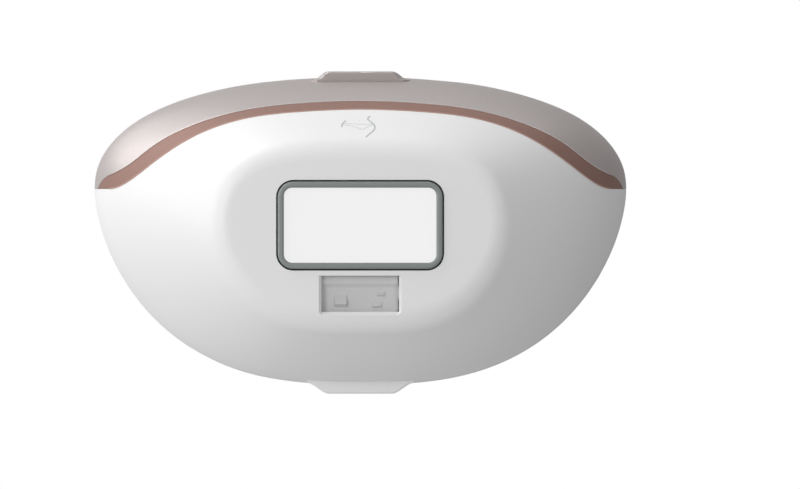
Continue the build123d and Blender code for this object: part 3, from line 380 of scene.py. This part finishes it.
# ---------------------------------------------------------------------- stage
FLOOR_SIZE = 4.0
FLOOR_GAP = 0.0001           # the sheet lies this far under the device
FLOOR_REACH = 0.07           # the glow changes from -reach to +reach along X
FLOOR_GLOW = (0.69, 0.34)    # left and right
SKY_REACH = 1.0
SKY_GLOW = (0.61, 0.21)
SENSOR_WIDTH = 36
VIEW_WIDTH = 0.1275          # metres across the view at the light window
VIEW_DISTANCE = 3.6
VIEW_CENTRE = (6.35 * MM, -3.07 * MM)
# name, place, size and power of each soft light
LIGHTS = [
    ("left", (-1.2, -0.25, 0.15), (0.5, 0.5), 2.4),
    ("front_left", (-0.7, -1.1, 0.15), (0.4, 0.4), 4.1),
    ("front_right", (0.75, -1.2, 0.55), (0.4, 0.4), 2.4),
    ("top_left", (-0.6, -0.1, 1.1), (0.5, 0.5), 4.5),
    ("top_wide", (0.0, 0.3, 1.2), (1.4, 0.6), 2.2),
    ("side_high", (-1.1, 0.35, 0.75), (0.7, 0.7), 2.5),
    ("rim_left", (-0.85, 0.9, 0.9), (0.9, 0.7), 1.6),
]


def glow(nodes, links, place, reach, levels):
    """Brightness that changes from left to right; the camera sees plain white."""
    axes = nodes.new("ShaderNodeSeparateXYZ")
    links.new(place, axes.inputs["Vector"])
    across = nodes.new("ShaderNodeMapRange")
    across.inputs["From Min"].default_value = -reach
    across.inputs["From Max"].default_value = reach
    across.inputs["To Min"].default_value = levels[0]
    across.inputs["To Max"].default_value = levels[1]
    links.new(axes.outputs["X"], across.inputs["Value"])
    path = nodes.new("ShaderNodeLightPath")
    level = nodes.new("ShaderNodeMapRange")
    level.inputs["To Max"].default_value = 1.0
    links.new(path.outputs["Is Camera Ray"], level.inputs["Value"])
    links.new(across.outputs["Result"], level.inputs["To Min"])
    return level.outputs["Result"]


def floor():
    """Glowing white sheet under the device, clear when seen from below."""
    low, _ = cad_box
    z = low[2] - FLOOR_GAP
    turns = ((-1, -1), (1, -1), (1, 1), (-1, 1))
    corners = [(x * FLOOR_SIZE, y * FLOOR_SIZE, z) for x, y in turns]
    mesh = bpy.data.meshes.new("floor")
    mesh.from_pydata(corners, [], [(0, 1, 2, 3)])
    sheet = bpy.data.objects.new("floor", mesh)
    bpy.context.collection.objects.link(sheet)
    paint = bpy.data.materials.new("pale_floor")
    paint.use_nodes = True
    nodes, links = paint.node_tree.nodes, paint.node_tree.links
    nodes.clear()
    surface = nodes.new("ShaderNodeNewGeometry")
    emission = nodes.new("ShaderNodeEmission")
    brightness = glow(nodes, links, surface.outputs["Position"], FLOOR_REACH, FLOOR_GLOW)
    links.new(brightness, emission.inputs["Strength"])
    clear = nodes.new("ShaderNodeBsdfTransparent")
    sides = nodes.new("ShaderNodeMixShader")
    links.new(surface.outputs["Backfacing"], sides.inputs["Fac"])
    links.new(emission.outputs["Emission"], sides.inputs[1])
    links.new(clear.outputs["BSDF"], sides.inputs[2])
    output = nodes.new("ShaderNodeOutputMaterial")
    links.new(sides.outputs["Shader"], output.inputs["Surface"])
    mesh.materials.append(paint)


def world():
    """Soft white surroundings, brighter on the left."""
    sky = bpy.data.worlds.new("studio")
    bpy.context.scene.world = sky
    sky.use_nodes = True
    nodes, links = sky.node_tree.nodes, sky.node_tree.links
    place = nodes.new("ShaderNodeTexCoord").outputs["Generated"]
    background = nodes["Background"]
    background.inputs["Color"].default_value = (1, 1, 1, 1)
    links.new(glow(nodes, links, place, SKY_REACH, SKY_GLOW), background.inputs["Strength"])


def area_light(name, place, size, power):
    """Soft rectangular light aimed at the head."""
    light = bpy.data.lights.new(name, "AREA")
    light.shape = "RECTANGLE"
    light.size, light.size_y = size
    light.energy = power
    lamp = bpy.data.objects.new(name, light)
    bpy.context.collection.objects.link(lamp)
    lamp.location = place
    aim = -lamp.location
    lamp.rotation_euler = aim.to_track_quat("-Z", "Y").to_euler()


def camera():
    """Long lens, square on to the light window."""
    lens = bpy.data.cameras.new("camera")
    lens.sensor_width = SENSOR_WIDTH
    lens.lens = SENSOR_WIDTH * VIEW_DISTANCE / VIEW_WIDTH
    eye = bpy.data.objects.new("camera", lens)
    bpy.context.collection.objects.link(eye)
    eye.location = (VIEW_CENTRE[0], -VIEW_DISTANCE, VIEW_CENTRE[1])
    eye.rotation_euler = (math.pi / 2, 0, 0)
    bpy.context.scene.camera = eye


floor()
world()
for light in LIGHTS:
    area_light(*light)
camera()
bpy.context.scene.view_settings.view_transform = "Standard"
